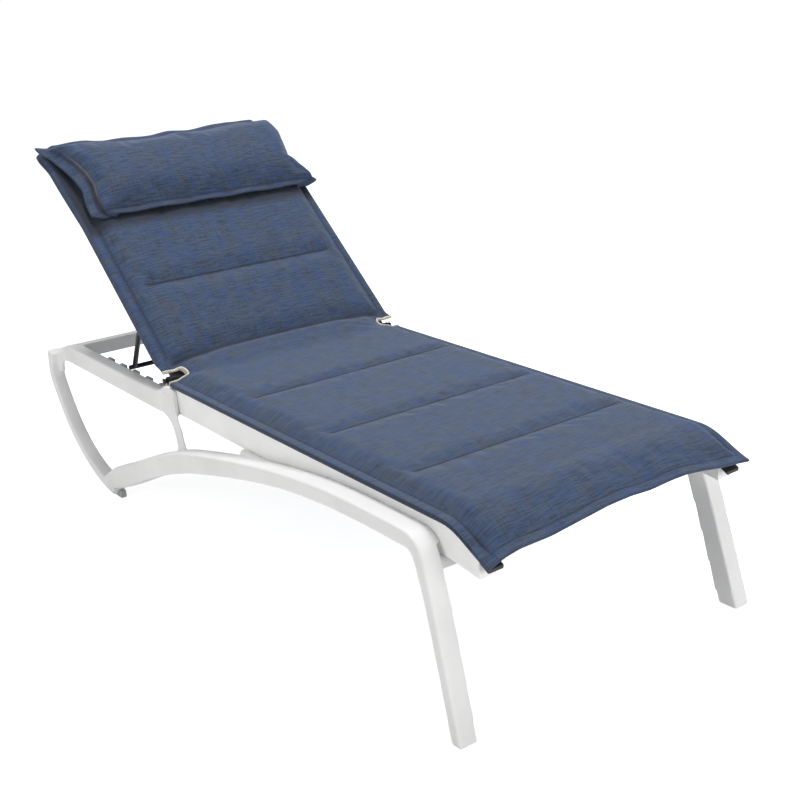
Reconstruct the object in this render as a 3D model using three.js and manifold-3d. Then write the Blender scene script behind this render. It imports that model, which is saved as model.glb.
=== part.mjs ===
// Outdoor chaise lounge: two moulded side frames carry a padded sling seat, a reclining padded
// sling back with a head pillow, and a prop that drops into toothed racks to hold the back up.
// Millimetres. +X is to the right seen from the foot end, +Y is towards the head, +Z is up.
// The origin is on the floor under the middle of the whole lounge.

import * as THREE from 'three';
import { mergeVertices } from 'three/addons/utils/BufferGeometryUtils.js';
import Module from 'manifold-3d';

const wasm = await Module();
wasm.setup();

// Overall places, measured from the hinge line of the back
const pivotToHeadEnd = 655;
const pivotToFootTip = 1193;
const pivotHeight = 392;
const restAngle = 40.35 * Math.PI / 180;
const gap = 0.3;
const cutOver = 20;
const roundSides = 20;
const screwSides = 12;

// Side frame: one moulding a side, with a curved arm, a rear rail, a strut and a hinge knuckle
const armOuterX = 380;
const armWidth = 42;
const footSplay = 14.5;
const armTopDrop = 41;
const armTopHeight = pivotHeight - armTopDrop;
const innerDrop = 24;
const innerDropShare = 0.12;
const innerDropStart = 300;
const innerDropEnd = 1050;
const armSteps = 44;
const rearLegSteps = 22;
const webStart = 0.25;
const webEnd = 0.75;
const webTopDrop = 3;
const webOverlap = 2;
const rearLegDrop = 12;
const rearLegWidth = 35.5;
const rearRailOuterX = 350;
const rearRailInnerX = 316;
const rearRailDrop = 27;
const rearRailHeight = 50;
const rearRailTop = pivotHeight - rearRailDrop;
const rearRailBottom = rearRailTop - rearRailHeight;
const strutOuterX = 344;
const strutInnerX = 338.5;
const knuckleOuterX = 340;
const cornerOuterX = 358;
const cornerInnerX = 345.5;

// Arm centre line: shares of the pivot-to-foot distance and of the arm height, then its depth
const armPathShares = [
  [0.2892, 0.0997], [0.2221, 0.2037], [0.1593, 0.292], [0.0293, 0.4886], [-0.1006, 0.6496],
  [-0.2012, 0.7393], [-0.3571, 0.8575], [-0.4962, 0.9402], [-0.6211, 0.9858], [-0.7334, 1],
  [-0.8256, 1], [-0.8508, 0.9957], [-0.8692, 0.9544], [-0.881, 0.8689], [-0.899, 0.7123],
  [-0.964, 0], [-0.9801, -0.19],
];
const armDepthShares = [
  0.68, 1.14, 1.08, 1, 0.98, 0.9, 0.765, 0.667, 0.667, 0.63, 0.63, 0.59, 0.55, 0.51, 0.48, 0.48, 0.48,
];
const armDepth = 51;

// Rear leg centre line: shares of the pivot-to-head distance and of the arm height, then its depth
const rearLegPathShares = [
  [0.9649, 0.9658], [0.9725, 0.8832], [0.9725, 0.7692], [0.916, 0.584], [0.8427, 0.4074],
  [0.7389, 0.2479], [0.6229, 0.1425], [0.5267, 0.0912], [0.461, 0.082],
];
const rearLegDepthShares = [0.85, 0.56, 0.53, 0.51, 0.51, 0.51, 0.51, 0.55, 0.66];

// Plate outlines: shares of one outline size, measured from the hinge and the rear rail's underside
const outlineSize = 100;
const rearRailShares = [
  [0.16, 0], [6.2, 0], [6.55, -0.15], [6.55, 0.2], [6.15, 0.35], [5.67, 0.5], [0.16, 0.5],
];
const knuckleShares = [
  [0.34, 0], [0.34, 0.5], [0.18, 0.56], [-0.02, 0.68], [-0.46, 0.67], [-0.5, 0.5],
  [-0.51, 0.24], [-0.54, 0],
];
const strutShares = [
  [0.3, 0.02], [0.1, -0.03], [-0.08, -0.08], [-0.2, -0.14], [-0.31, -0.23], [-0.4, -0.39],
  [-0.47, -0.61], [-0.52, -0.85], [-0.56, -1.04], [-1, -0.9], [-0.92, -0.72], [-0.84, -0.5],
  [-0.79, -0.28], [-0.68, -0.08], [-0.62, 0.1], [-0.58, 0.28], [-0.48, 0.5], [0.2, 0.45],
];
const cornerShares = [
  [5.84, 0.1], [5.86, 0], [6, -0.04], [6.09, -0.12], [6.13, -0.22], [6.15, -0.36],
  [6.4, -0.36], [6.4, 0.24], [5.9, 0.3],
];
const gussetShares = [
  [-3.66, 0.08], [-3.56, 0.04], [-3.52, -0.05], [-3.57, -0.14], [-3.7, -0.2], [-4.7, -0.2],
  [-4.7, 0.1],
];

// Seat rails: hollow bars that carry the seat sling and bend down at the foot end
const seatRailOuterX = 328.6;
const seatRailWidth = 38;
const seatRailDrop = 9;
const seatRailHeight = 63.5;
const seatRailTop = pivotHeight - seatRailDrop;
const seatRailBottom = seatRailTop - seatRailHeight;
const seatRailWall = 3;
const seatRailRear = 11;
const railBendSteps = 12;
const railLevelSteps = 4;
const grooveWidth = 7;
const grooveDepth = 8;
const keelTopDrop = 1;
const splineWidth = 5;
const splineClear = 0.5;
const railEnd = 1150;
const bendStart = 1045;
const bendDrop = 37;
const bendPower = 1.5;
const underBendShare = 0.3;
const endCapLength = 21;
const endCapHeight = 7;
const endCapDrop = 1;

// Cross tubes
const crossbarDepth = 28;
const crossbarHeight = 36;
const crossbarY = 553;
const crossbarTopDrop = 1;
const crossbarScrewGrip = 20;
const crossbarScrewInset = 4;
const tubeWall = 2.5;
const frontTubeRadius = 14;
const frontTubeY = -1046;
const midTubeRadius = 14;
const midTubeY = -70;
const midTubeDrop = 4;
const socketDepth = 10;

// Racks on the inner sides of the rear rails
const toothCount = 5;
const toothPitch = 74.8;
const toothLength = 29;
const firstToothY = 46;
const rackThickness = 7.5;
const rackDrop = 32;
const rackNotchHeight = 19;
const rackToothHeight = 32.5;
const rackBottom = rearRailTop - rackDrop;
const rackNotchFloor = rackBottom + rackNotchHeight;
const toothTop = rackBottom + rackToothHeight;
const toothSlope = 3;
const rackEndLength = 12;
const rackScrewRise = 10;
const rackScrewPlaces = [106, 331];
const railScrewDrop = 31;
const railScrewPlaces = [-690, -930];

// Prop that holds the back up
const propAlongBack = 169;
const propBelowBack = 17;
const propLegRadius = 6.4;
const propBarRadius = 6;
const propBarY = 262;
const propBarClear = 2;
const propTipLength = 6.5;
const propTipClear = 1.4;
const propLegTopX = 321;
const propLegInset = 8;
const propEarThickness = 3;
const propEarClear = 2.7;
const propEarRim = 6;
const propPinRadius = 3;
const propPinHead = 1.2;
const propPinOver = 3;

// Back frame
const backRailOuterX = 326;
const backRailWidth = 24;
const backRailDepth = 18;
const backRailWall = 2;
const backRailStart = 24;
const backRailEnd = 722;
const backTopTubeAlong = 712;
const backLowTubeAlong = 62;
const backTubeRadius = 9;

// Hinge
const pinRadius = 5;
const pinOuterX = 337;
const pinInnerX = 272;
const lugRadius = 9;
const lugFootHeight = 3;
const lugClear = 0.5;
const seatLugInnerX = 313;
const seatLugOuterX = 328;
const backLugThickness = 8;
const backLugTop = 8.6;
const pinHeadRadius = 7.5;
const pinHeadLength = 2.7;

// Slings: flat sewn edge, soft crown and dips at the sewn channels
const slingHalfWidth = 328.4;
const slingLift = 0.4;
const slingEdge = 12;
const seatCrown = 15;
const backCrown = 10;
const seatSlingRear = 18;
const backSlingStart = 12;
const backSlingEnd = 742;
const channelDip = 7;
const channelWidth = 15;
const edgeFlange = 28;
const hemRise = 20;
const hemLiftShare = 0.38;
const longestStep = 110;
const bendStep = 18;
const seatChannelPlaces = [310, 617, 893];
const backChannelPlaces = [54, 268, 505];
const rimShares = [0, 0.2, 0.55, 1];
const dipShares = [-1.7, -0.8, 0, 0.8, 1.7];

// Pillow and the flap that hangs it over the top of the back
const pillowTopHalf = 326;
const pillowFlare = 24;
const pillowTopAlong = 736;
const pillowLowAlong = 492;
const pillowLift = 34;
const pillowFlange = 15;
const pillowRise = 34;
const pillowEdge = 7;
const pillowArch = 14;
const pillowCrown = 25;
const pillowSteps = [20, 14];
const flapThickness = 5;
const flapLength = 150;
const flapLap = 6;
const flapInset = 36;
const flapClear = 0.4;

// Cream trims that edge the hinge notches, drawn in the plane of the back
const trimLow = 9.7;
const trimHeight = 6;
const trimOutlineSize = 10;
const trimShares = [
  [32.8, 0.4], [27.8, 0.4], [27, 0.1], [26.6, -0.6], [25.8, -0.6], [26, 0.4], [26.6, 1.15],
  [32.8, 1.15],
];

// Feet and screws
const rearGlideWidth = 16;
const rearGlideLength = 38;
const rearGlideHeight = 19;
const rearGlideY = 311;
const rearGlideX = 355;
const frontGlideWidth = 26;
const frontGlideLength = 20;
const frontGlidePocket = 2;
const screwRadius = 2.5;
const screwHeadRadius = 4.5;
const screwHeadHeight = 2.5;
const screwGrip = 12;
const weldDistance = 0.001;

const whiteFrame = { color: 0xe9e9e7, roughness: 0.62, metalness: 0.0 };
const whiteMetal = { color: 0xe4e4e2, roughness: 0.55, metalness: 0.25 };
const greyPlastic = { color: 0xa9aaab, roughness: 0.6, metalness: 0.0 };
const blackMetal = { color: 0x14161c, roughness: 0.45, metalness: 0.4 };
const blackPlastic = { color: 0x101012, roughness: 0.55, metalness: 0.0 };
const steel = { color: 0xb9bcc0, roughness: 0.35, metalness: 0.9 };
const slate = { color: 0x4f5d80, roughness: 0.9, metalness: 0.0 };
const cream = { color: 0xd8d3c6, roughness: 0.7, metalness: 0.0 };

const lounge = new THREE.Group();
lounge.position.y = (pivotToFootTip - pivotToHeadEnd) / 2;

// Everything on the back is drawn lying flat and then turned up about the hinge line
const back = new THREE.Group();
back.position.z = pivotHeight;
back.rotation.x = restAngle;
lounge.add(back);

// Helpers

function mixed(a, b, share) {
  return a + (b - a) * share;
}

function eased(share) {
  const held = Math.min(1, Math.max(0, share));
  return held * held * (3 - 2 * held);
}

// A box with many slices, each of its points moved to place(across, along, through)
function shapedBox(acrossCuts, alongCuts, throughCuts, place) {
  const geometry = new THREE.BoxGeometry(1, 1, 1, acrossCuts, alongCuts, throughCuts);
  const points = geometry.getAttribute('position');
  for (let i = 0; i < points.count; i += 1) {
    const p = place(points.getX(i) + 0.5, points.getY(i) + 0.5, points.getZ(i) + 0.5);
    points.setXYZ(i, p.x, p.y, p.z);
  }
  return geometry;
}

// A plate drawn by its (y, z) outline and given its thickness along X
function platePoints(outline, fromX, toX) {
  const shape = new THREE.Shape(outline.map(([y, z]) => new THREE.Vector2(y, z)));
  const settings = { depth: toX - fromX, bevelEnabled: false };
  const geometry = new THREE.ExtrudeGeometry(shape, settings);
  const turn = new THREE.Matrix4().makeBasis(
    new THREE.Vector3(0, 1, 0), new THREE.Vector3(0, 0, 1), new THREE.Vector3(1, 0, 0));
  geometry.applyMatrix4(turn);
  geometry.translate(fromX, 0, 0);
  return geometry;
}

function block(fromX, toX, fromY, toY, fromZ, toZ) {
  const geometry = new THREE.BoxGeometry(toX - fromX, toY - fromY, toZ - fromZ);
  geometry.translate((fromX + toX) / 2, (fromY + toY) / 2, (fromZ + toZ) / 2);
  return geometry;
}

// A round bar between two points
function rod(from, to, radius, sides = roundSides) {
  const start = new THREE.Vector3(...from);
  const end = new THREE.Vector3(...to);
  const run = end.clone().sub(start);
  const geometry = new THREE.CylinderGeometry(radius, radius, run.length(), sides);
  const turn = new THREE.Quaternion().setFromUnitVectors(
    new THREE.Vector3(0, 1, 0), run.clone().normalize());
  geometry.applyQuaternion(turn);
  geometry.translate(...start.add(end).multiplyScalar(0.5).toArray());
  return geometry;
}

// A round tube with open ends between two points
function pipe(from, to, radius, wall) {
  const outer = new THREE.Vector3(...from);
  const end = new THREE.Vector3(...to);
  const run = end.clone().sub(outer);
  const profile = [
    [radius - wall, 0], [radius, 0], [radius, run.length()], [radius - wall, run.length()],
    [radius - wall, 0],
  ];
  const geometry = new THREE.LatheGeometry(
    profile.map(([r, h]) => new THREE.Vector2(r, h)), roundSides);
  geometry.applyQuaternion(new THREE.Quaternion().setFromUnitVectors(
    new THREE.Vector3(0, 1, 0), run.clone().normalize()));
  geometry.translate(...outer.toArray());
  return geometry;
}

function solid(geometry) {
  const bare = geometry.index ? geometry.toNonIndexed() : geometry.clone();
  bare.deleteAttribute('normal');
  bare.deleteAttribute('uv');
  const merged = mergeVertices(bare, weldDistance);
  return new wasm.Manifold(new wasm.Mesh({
    numProp: 3,
    vertProperties: Float32Array.from(merged.getAttribute('position').array),
    triVerts: Uint32Array.from(merged.index.array),
  }));
}

function geometryOf(body) {
  const mesh = body.getMesh();
  const geometry = new THREE.BufferGeometry();
  geometry.setAttribute('position', new THREE.BufferAttribute(mesh.vertProperties.slice(), 3));
  geometry.setIndex(new THREE.BufferAttribute(mesh.triVerts.slice(), 1));
  geometry.computeVertexNormals();
  return geometry;
}

function joined(parts) {
  return parts.map(solid).reduce((whole, piece) => whole.add(piece));
}

function without(body, cutters) {
  return cutters.map(solid).reduce((whole, cutter) => whole.subtract(cutter), body);
}

function mirrored(geometry) {
  const copy = geometry.index ? geometry.toNonIndexed() : geometry.clone();
  copy.scale(-1, 1, 1);
  for (const name of Object.keys(copy.attributes)) {
    const values = copy.getAttribute(name);
    const size = values.itemSize;
    for (let i = 0; i < values.count; i += 3) {
      for (let k = 0; k < size; k += 1) {
        const second = values.array[(i + 1) * size + k];
        values.array[(i + 1) * size + k] = values.array[(i + 2) * size + k];
        values.array[(i + 2) * size + k] = second;
      }
    }
  }
  return copy;
}

function addPiece(group, name, geometry, look) {
  const mesh = new THREE.Mesh(geometry, new THREE.MeshStandardMaterial(look));
  mesh.name = name;
  group.add(mesh);
}

// Right-hand pieces are drawn; left-hand ones are their mirror images
function addPair(group, name, geometry, look) {
  addPiece(group, `${name}_right`, geometry, look);
  addPiece(group, `${name}_left`, mirrored(geometry), look);
}

function screwParts(from, towards, grip = screwGrip) {
  const start = new THREE.Vector3(...from);
  const aim = new THREE.Vector3(...towards);
  const headEnd = start.clone().addScaledVector(aim, -screwHeadHeight);
  const tip = start.clone().addScaledVector(aim, grip);
  const shankStart = start.clone().addScaledVector(aim, -screwHeadHeight / 2);
  return {
    head: rod(headEnd.toArray(), start.toArray(), screwHeadRadius, screwSides),
    shank: rod(shankStart.toArray(), tip.toArray(), screwRadius, screwSides),
    hole: rod(headEnd.toArray(), tip.clone().addScaledVector(aim, gap).toArray(),
      screwRadius + gap, screwSides),
  };
}

function screwGeometry(from, towards, grip) {
  const parts = screwParts(from, towards, grip);
  return geometryOf(joined([parts.head, parts.shank]));
}

// Side frames

function pathFrom(shares, lengthSpan) {
  return new THREE.CatmullRomCurve3(
    shares.map(([y, z]) => new THREE.Vector3(0, y * lengthSpan, z * armTopHeight)),
    false, 'centripetal');
}

function depthAt(shares, along) {
  const place = along * (shares.length - 1);
  const step = Math.min(shares.length - 2, Math.floor(place));
  return armDepth * mixed(shares[step], shares[step + 1], place - step);
}

// Plate outlines are measured from the hinge line and the underside of the rear rail
function outlineFrom(shares) {
  return shares.map(([y, z]) => [y * outlineSize, rearRailBottom + z * outlineSize]);
}

const armPath = pathFrom(armPathShares, pivotToFootTip);
const rearLegPath = pathFrom(rearLegPathShares, pivotToHeadEnd);
const armInnerX = armOuterX - armWidth;

// The front legs lean outwards towards the floor
function splayAt(y, z) {
  const onLeg = y < -pivotToFootTip / 2 && z < armTopHeight;
  return onLeg ? footSplay * (1 - z / armTopHeight) : 0;
}

// The inner edge of the arm hangs lower the nearer it is to the front leg
function armDropAt(y) {
  const share = eased((-y - innerDropStart) / (innerDropEnd - innerDropStart));
  return innerDrop * mixed(innerDropShare, 1, share);
}

// One run of the moulding: a bar with a thin outer edge and a deeper inner one
function mouldedRun(path, depthShares, range, steps, sides, drops) {
  return shapedBox(1, steps, 1, (across, along, through) => {
    const share = mixed(range[1], range[0], along);
    const centre = path.getPoint(share);
    const run = path.getTangent(share);
    const upward = new THREE.Vector3(0, run.z, -run.y);
    const half = depthAt(depthShares, share) / 2;
    const low = -half - drops.innerAt(centre.y) * (1 - across);
    const offset = mixed(low, half - drops.top, through);
    const point = centre.clone().addScaledVector(upward, offset);
    const x = mixed(sides[0], sides[1], across) + splayAt(centre.y, centre.z);
    return new THREE.Vector3(x, point.y, point.z);
  });
}

const frontTubeZ = seatRailBottom - gap - frontTubeRadius;
const midTubeZ = (seatRailTop + seatRailBottom) / 2 - midTubeDrop;
const crossbarBox = {
  rear: crossbarY + crossbarDepth / 2,
  front: crossbarY - crossbarDepth / 2,
  top: rearRailTop - crossbarTopDrop,
  bottom: rearRailTop - crossbarTopDrop - crossbarHeight,
};
const seatRailInnerX = seatRailOuterX - seatRailWidth;
const rackOuterX = rearRailInnerX - gap;
const rackInnerX = rackOuterX - rackThickness;
const rackScrews = rackScrewPlaces.map((y) => (
  [[rackInnerX, y, rackBottom + rackScrewRise], [1, 0, 0]]));
const railScrews = railScrewPlaces.map((y) => (
  [[seatRailInnerX, y, seatRailTop - railScrewDrop], [1, 0, 0]]));
const railScrewGrip = seatRailWidth + screwGrip;
const crossbarScrew = [
  [rearRailInnerX + crossbarScrewInset, crossbarY, rearRailBottom - gap], [0, 0, 1],
  crossbarScrewGrip,
];

function frontFootCentre() {
  const share = (armPathShares.length - 2) / (armPathShares.length - 1);
  const foot = armPath.getPoint(share);
  const x = (armOuterX + armInnerX) / 2 + splayAt(foot.y, foot.z);
  return { x, y: foot.y + innerDrop / 4 };
}

function frontGlideBlock(grow, bottom, top) {
  const centre = frontFootCentre();
  return block(centre.x - frontGlideWidth / 2 - grow, centre.x + frontGlideWidth / 2 + grow,
    centre.y - frontGlideLength / 2 - grow, centre.y + frontGlideLength / 2 + grow, bottom, top);
}

function rearGlideBlock(grow, bottom, top) {
  return block(rearGlideX - rearGlideWidth / 2 - grow, rearGlideX + rearGlideWidth / 2 + grow,
    rearGlideY - rearGlideLength / 2 - grow, rearGlideY + rearGlideLength / 2 + grow, bottom, top);
}

function sideFrame() {
  const armSides = [armInnerX, armOuterX];
  const webSides = [seatRailOuterX + gap, armInnerX + webOverlap];
  const whole = joined([
    mouldedRun(armPath, armDepthShares, [0, 1], armSteps, armSides,
      { innerAt: armDropAt, top: 0 }),
    mouldedRun(armPath, armDepthShares, [webStart, webEnd], armSteps, webSides,
      { innerAt: armDropAt, top: webTopDrop }),
    mouldedRun(rearLegPath, rearLegDepthShares, [0, 1], rearLegSteps,
      [armOuterX - rearLegWidth, armOuterX], { innerAt: () => rearLegDrop, top: 0 }),
    platePoints(outlineFrom(rearRailShares), rearRailInnerX, rearRailOuterX),
    platePoints(outlineFrom(knuckleShares), seatRailOuterX + gap, knuckleOuterX),
    platePoints(outlineFrom(strutShares), strutInnerX, strutOuterX),
    platePoints(outlineFrom(cornerShares), cornerInnerX, cornerOuterX),
    platePoints(outlineFrom(gussetShares), ...webSides),
  ]);
  const farX = armOuterX * 2;
  const farY = pivotToFootTip * 2;
  const cutters = [
    block(0, farX, -farY, farY, -armTopHeight, 0),
    block(0, farX, pivotToHeadEnd, farY, 0, armTopHeight * 2),
    rearGlideBlock(gap, -cutOver, rearGlideHeight + gap),
    frontGlideBlock(gap, -cutOver, frontGlidePocket + gap),
    rod([0, frontTubeY, frontTubeZ], [armInnerX + socketDepth + gap, frontTubeY, frontTubeZ],
      frontTubeRadius + gap),
    block(0, rearRailInnerX + socketDepth + gap, crossbarBox.front - gap, crossbarBox.rear + gap,
      crossbarBox.bottom - gap, crossbarBox.top + gap),
    block(0, seatRailOuterX + gap, -farY, knuckleShares[0][0] * outlineSize, rearRailBottom,
      armTopHeight * 2),
    ...rackScrews.map((screw) => screwParts(...screw).hole),
    ...railScrews.map(([from, towards]) => screwParts(from, towards, railScrewGrip).hole),
    screwParts(...crossbarScrew).hole,
  ];
  return geometryOf(without(whole, cutters));
}

addPair(lounge, 'side_frame', sideFrame(), whiteFrame);
addPair(lounge, 'front_glide', frontGlideBlock(0, 0, frontGlidePocket), greyPlastic);
addPair(lounge, 'rear_glide', rearGlideBlock(0, 0, rearGlideHeight), greyPlastic);

// Seat rails

// Height of a line that runs level and then bends down towards the foot end
function bentDown(y, level, drop) {
  const past = Math.max(0, (-y - bendStart) / (railEnd - bendStart));
  return level - drop * past ** bendPower;
}

// The bent end has short slices and the level part long ones
function railPlace(along, rear, end) {
  const bendShare = railBendSteps / (railBendSteps + railLevelSteps);
  return along < bendShare
    ? mixed(-end, -bendStart, along / bendShare)
    : mixed(-bendStart, rear, (along - bendShare) / (1 - bendShare));
}

function railRun(fromX, toX, rear, end, topOf, bottomOf) {
  return shapedBox(1, railBendSteps + railLevelSteps, 1, (across, along, through) => {
    const y = railPlace(along, rear, end);
    return new THREE.Vector3(mixed(fromX, toX, across), y, mixed(bottomOf(y), topOf(y), through));
  });
}

function railTop(y) {
  return bentDown(y, seatRailTop, bendDrop);
}

function railUnder(y) {
  return bentDown(y, seatRailBottom, bendDrop * underBendShare);
}

const railMiddleX = seatRailOuterX - seatRailWidth / 2;

function seatRail() {
  const keelHalf = grooveWidth / 2 + seatRailWall;
  const keelDepth = grooveDepth + seatRailWall;
  const body = railRun(seatRailInnerX, seatRailOuterX, seatRailRear, railEnd, railTop, railUnder);
  const bore = railRun(seatRailInnerX + seatRailWall, seatRailOuterX - seatRailWall,
    seatRailRear + cutOver, railEnd - seatRailWall,
    (y) => railTop(y) - seatRailWall, (y) => railUnder(y) + seatRailWall);
  const keel = railRun(railMiddleX - keelHalf, railMiddleX + keelHalf, seatRailRear, railEnd,
    (y) => railTop(y) - keelTopDrop, (y) => railTop(y) - keelDepth);
  const groove = railRun(railMiddleX - grooveWidth / 2, railMiddleX + grooveWidth / 2,
    seatRailRear + cutOver, railEnd + cutOver, (y) => railTop(y) + cutOver,
    (y) => railTop(y) - grooveDepth);
  const tubeHole = rod([0, midTubeY, midTubeZ],
    [seatRailInnerX + seatRailWall + socketDepth, midTubeY, midTubeZ], midTubeRadius + gap);
  const holes = railScrews.map(
    ([from, towards]) => screwParts(from, towards, railScrewGrip).hole);
  const shell = without(solid(body), [bore]).add(solid(keel));
  return geometryOf(without(shell, [groove, tubeHole, ...holes]));
}

function seatSpline() {
  const floor = (y) => railTop(y) - grooveDepth + splineClear;
  return railRun(railMiddleX - splineWidth / 2, railMiddleX + splineWidth / 2,
    seatRailRear, railEnd, (y) => floor(y) + splineWidth, floor);
}

function railEndCap() {
  const rear = -railEnd - gap;
  return shapedBox(1, 2, 1, (across, along, through) => {
    const y = mixed(rear - endCapLength, rear, along);
    const z = railTop(y) - endCapDrop - endCapHeight * (1 - through);
    return new THREE.Vector3(mixed(seatRailInnerX, seatRailOuterX, across), y, z);
  });
}

addPair(lounge, 'seat_rail', seatRail(), whiteMetal);
addPair(lounge, 'seat_spline', seatSpline(), blackPlastic);
addPair(lounge, 'rail_end_cap', railEndCap(), blackPlastic);
railScrews.forEach(([from, towards], i) => {
  addPair(lounge, `rail_screw_${i + 1}`, screwGeometry(from, towards, railScrewGrip), steel);
});

// Cross tubes

function headCrossbar() {
  const half = rearRailInnerX + socketDepth;
  const { front, rear, top, bottom } = crossbarBox;
  const outer = solid(block(-half, half, front, rear, bottom, top));
  const bore = block(-half - cutOver, half + cutOver, front + tubeWall, rear - tubeWall,
    bottom + tubeWall, top - tubeWall);
  const hole = screwParts(...crossbarScrew).hole;
  return geometryOf(without(outer, [bore, hole, mirrored(hole)]));
}

const frontTubeEnd = armInnerX + socketDepth;
const midTubeEnd = seatRailInnerX + seatRailWall + socketDepth - gap;

addPiece(lounge, 'head_crossbar', headCrossbar(), whiteMetal);
addPair(lounge, 'crossbar_screw', screwGeometry(...crossbarScrew), steel);
addPiece(lounge, 'front_cross_tube', pipe([-frontTubeEnd, frontTubeY, frontTubeZ],
  [frontTubeEnd, frontTubeY, frontTubeZ], frontTubeRadius, tubeWall), whiteMetal);
addPiece(lounge, 'mid_cross_tube', pipe([-midTubeEnd, midTubeY, midTubeZ],
  [midTubeEnd, midTubeY, midTubeZ], midTubeRadius, tubeWall), whiteMetal);

// Racks

function rackOutline() {
  const lastEnd = firstToothY + (toothCount - 1) * toothPitch + toothLength;
  const points = [
    [firstToothY - rackEndLength, rackBottom], [lastEnd + rackEndLength, rackBottom],
    [lastEnd + rackEndLength, rackNotchFloor],
  ];
  for (let i = toothCount - 1; i >= 0; i -= 1) {
    const start = firstToothY + i * toothPitch;
    points.push([start + toothLength + toothSlope, rackNotchFloor], [start + toothLength, toothTop],
      [start, toothTop], [start, rackNotchFloor]);
  }
  points.push([firstToothY - rackEndLength, rackNotchFloor]);
  return points;
}

function rack() {
  const plate = solid(platePoints(rackOutline(), rackInnerX, rackOuterX));
  return geometryOf(without(plate, rackScrews.map((screw) => screwParts(...screw).hole)));
}

addPair(lounge, 'rack', rack(), greyPlastic);
rackScrews.forEach((screw, i) => {
  addPair(lounge, `rack_screw_${i + 1}`, screwGeometry(...screw), steel);
});

// Hinge: a lug on each seat rail and one in each back rail turn on one pin a side

const pinHole = rod([0, 0, 0], [armOuterX, 0, 0], pinRadius + gap);

function seatLug() {
  const low = seatRailTop - pivotHeight + gap;
  const disc = rod([seatLugInnerX, 0, 0], [seatLugOuterX, 0, 0], lugRadius);
  const stem = block(seatLugInnerX, seatLugOuterX, -lugRadius, lugRadius / 2, low, 0);
  const foot = block(seatLugInnerX, seatLugOuterX, -lugRadius * 2, lugRadius / 2,
    low, low + lugFootHeight);
  const lug = geometryOf(without(joined([disc, stem, foot]), [
    pinHole, block(0, armOuterX, -armOuterX, armOuterX, -armOuterX, low),
  ]));
  lug.translate(0, 0, pivotHeight);
  return lug;
}

function backLug() {
  const reach = backRailDepth / 2 - backRailWall - gap;
  const outer = seatLugInnerX - lugClear;
  const arm = block(outer - backLugThickness, outer, 0, backRailStart + cutOver, -reach, reach);
  const inner = pinInnerX + pinHeadLength + gap;
  const barrel = rod([inner, 0, 0], [outer, 0, 0], lugRadius);
  const plate = block(inner, outer, 0, backRailStart - gap, 0, backLugTop);
  return geometryOf(without(joined([barrel, arm, plate]), [pinHole]));
}

function pivotPin() {
  const shank = rod([pinInnerX, 0, pivotHeight], [pinOuterX, 0, pivotHeight], pinRadius);
  const head = rod([pinOuterX - pinHeadLength, 0, pivotHeight], [pinOuterX, 0, pivotHeight],
    pinHeadRadius);
  const collar = rod([pinInnerX, 0, pivotHeight], [pinInnerX + pinHeadLength, 0, pivotHeight],
    pinHeadRadius);
  return geometryOf(joined([shank, collar, head]));
}

addPair(lounge, 'seat_hinge_lug', seatLug(), blackMetal);
addPair(lounge, 'pivot_pin', pivotPin(), blackMetal);
addPair(back, 'back_hinge_lug', backLug(), blackMetal);

// Back frame, drawn flat: Y runs up the back and Z out of its face

const backRailInnerX = backRailOuterX - backRailWidth;
const backRailHalf = backRailDepth / 2;

function backRail() {
  const body = solid(block(backRailInnerX, backRailOuterX, backRailStart, backRailEnd,
    -backRailHalf, backRailHalf));
  const bore = block(backRailInnerX + backRailWall, backRailOuterX - backRailWall,
    backRailStart - cutOver, backRailEnd + cutOver, -backRailHalf + backRailWall,
    backRailHalf - backRailWall);
  return geometryOf(without(body, [bore]));
}

function backTube(along) {
  const half = backRailInnerX - gap;
  return pipe([-half, along, 0], [half, along, 0], backTubeRadius, tubeWall);
}

addPair(back, 'back_rail', backRail(), blackMetal);
addPiece(back, 'back_top_tube', backTube(backTopTubeAlong), blackMetal);
addPiece(back, 'back_low_tube', backTube(backLowTubeAlong), blackMetal);

// Prop: two legs hinged under the back rails, and a bar that sits in the rack notches

const propBarZ = rackNotchFloor + propBarRadius + propBarClear;
const propBarHalf = rackInnerX - propTipClear - propTipLength - gap;
const propLegFootX = propBarHalf - propLegInset;
const propTop = new THREE.Vector3(0, propAlongBack, -propBelowBack)
  .applyAxisAngle(new THREE.Vector3(1, 0, 0), restAngle)
  .add(new THREE.Vector3(0, 0, pivotHeight));

function propLeg() {
  const foot = [propLegFootX, propBarY, propBarZ];
  const top = [propLegTopX, propTop.y, propTop.z];
  const shaft = rod(foot, top, propLegRadius);
  const eye = rod([propLegTopX - propLegRadius, propTop.y, propTop.z],
    [propLegTopX + propLegRadius, propTop.y, propTop.z], propLegRadius + propPinHead);
  const pinRoom = rod([0, propTop.y, propTop.z], [armOuterX, propTop.y, propTop.z],
    propPinRadius + gap);
  const barRoom = rod([0, propBarY, propBarZ], [armOuterX, propBarY, propBarZ],
    propBarRadius + gap);
  return geometryOf(without(joined([shaft, eye]), [pinRoom, barRoom]));
}

const earFromX = propLegTopX - propLegRadius - propEarClear - propEarThickness;

function propEar() {
  const half = propPinRadius + propEarRim;
  const plate = solid(block(earFromX, earFromX + propEarThickness, propAlongBack - half,
    propAlongBack + half, -propBelowBack - propEarRim, -backRailHalf - gap));
  const hole = rod([0, propAlongBack, -propBelowBack], [armOuterX, propAlongBack, -propBelowBack],
    propPinRadius + gap);
  return geometryOf(without(plate, [hole]));
}

function propPin() {
  const fromX = earFromX - propPinOver;
  const toX = propLegTopX + propLegRadius + gap;
  const shank = rod([fromX, propAlongBack, -propBelowBack],
    [toX + propPinHead, propAlongBack, -propBelowBack], propPinRadius);
  const head = rod([toX, propAlongBack, -propBelowBack],
    [toX + propPinHead, propAlongBack, -propBelowBack], propPinRadius + propPinHead);
  return geometryOf(joined([shank, head]));
}

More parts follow.
